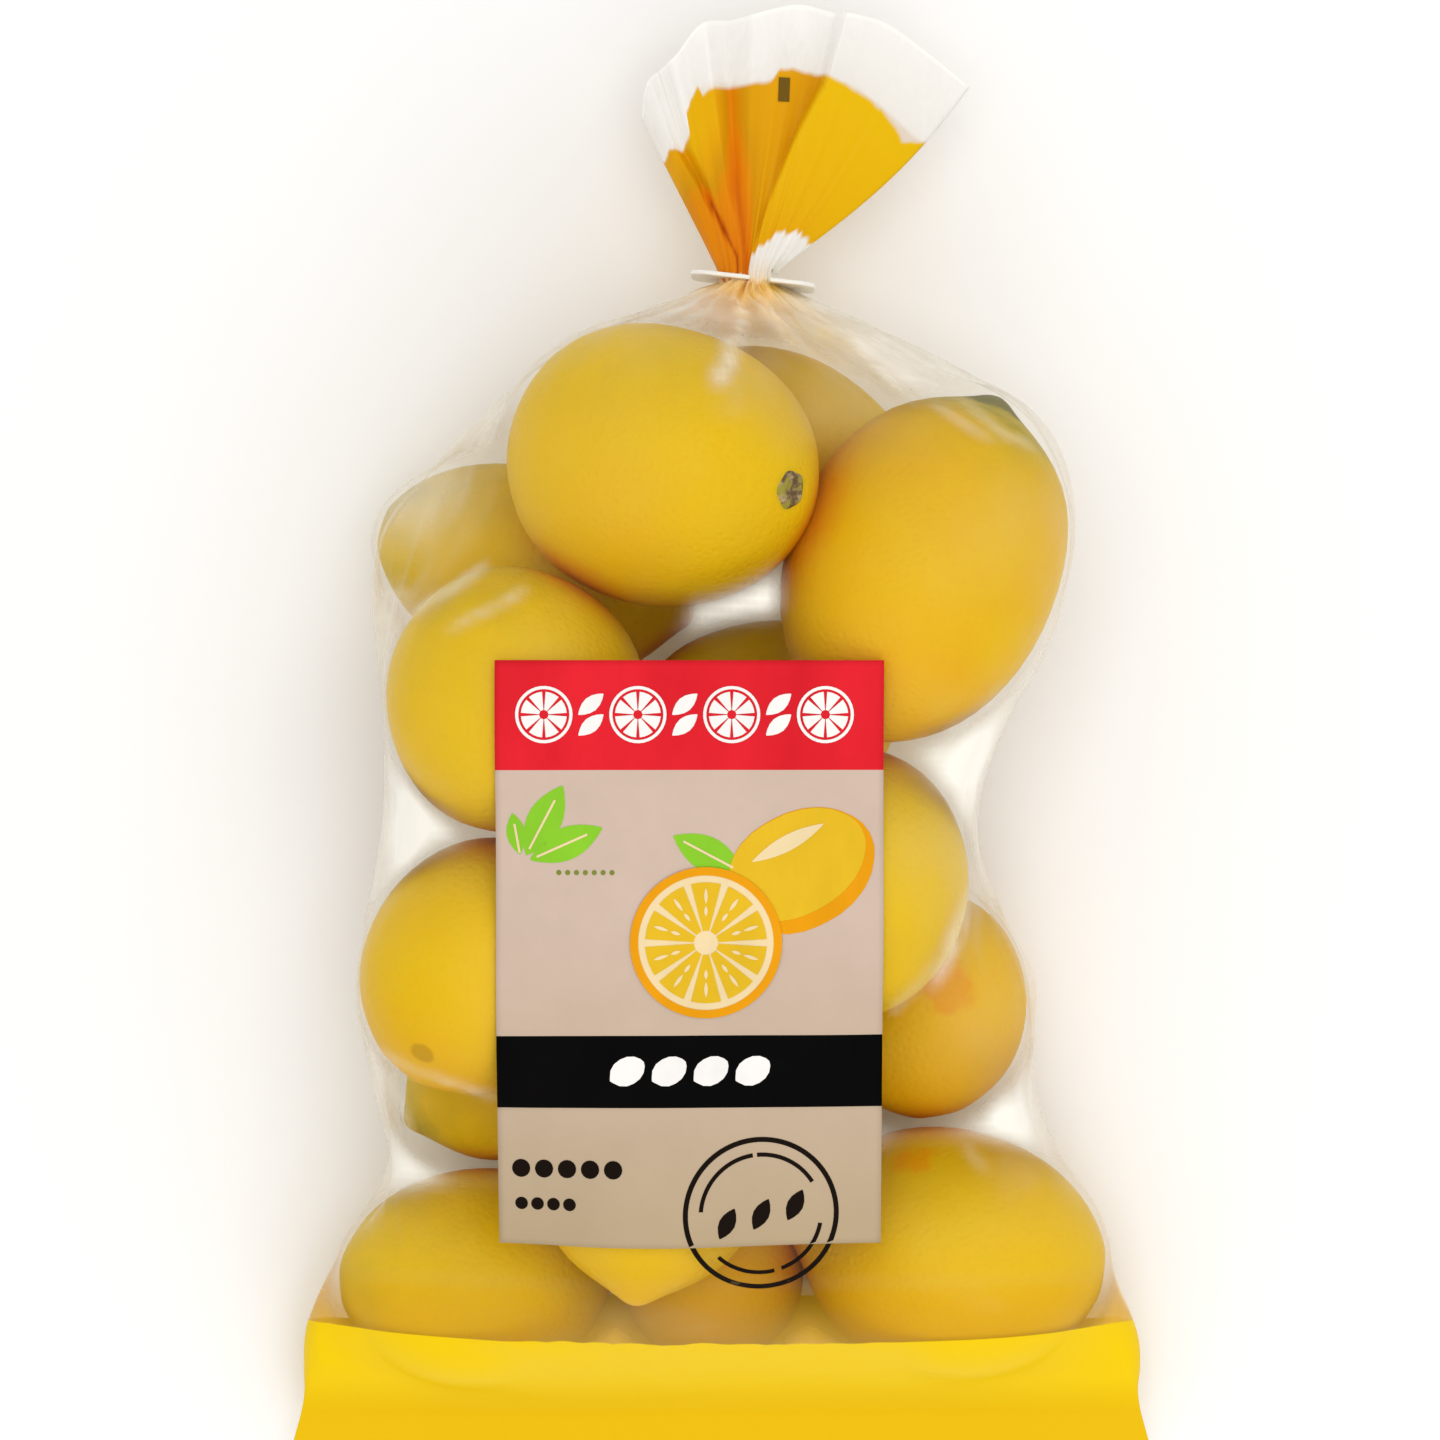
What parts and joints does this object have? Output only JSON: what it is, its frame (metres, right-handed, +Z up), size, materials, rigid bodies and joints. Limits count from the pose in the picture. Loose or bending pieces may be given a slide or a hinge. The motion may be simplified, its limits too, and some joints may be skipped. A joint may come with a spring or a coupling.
{
  "type": "bag of lemons",
  "caption": "Clear film bag packed with lemons, flat seal at the bottom, printed front panel, gathered top held by a flat plastic closure tag.",
  "frame": {"origin": "on the table under the middle of the whole bag", "axes": "+Y from the flat seal to the gathered top, +X across the bag to its right as the front is read, +Z up through the printed front"},
  "size_m": [0.1925, 0.3208, 0.107],
  "materials": {
    "clear_film": "thin clear polythene film, glossy and slightly hazy, with a printed yellow band at each end",
    "printed_panel": "opaque cream print on the film with a red and a black band",
    "tag_plastic": "smooth off-white moulded plastic",
    "lemon_peel": "waxy pitted yellow peel"
  },
  "bodies": {
    "root": {"bag": "clear_film", "label": "printed_panel", "closure_tag": "tag_plastic"}
  },
  "joints": []
}
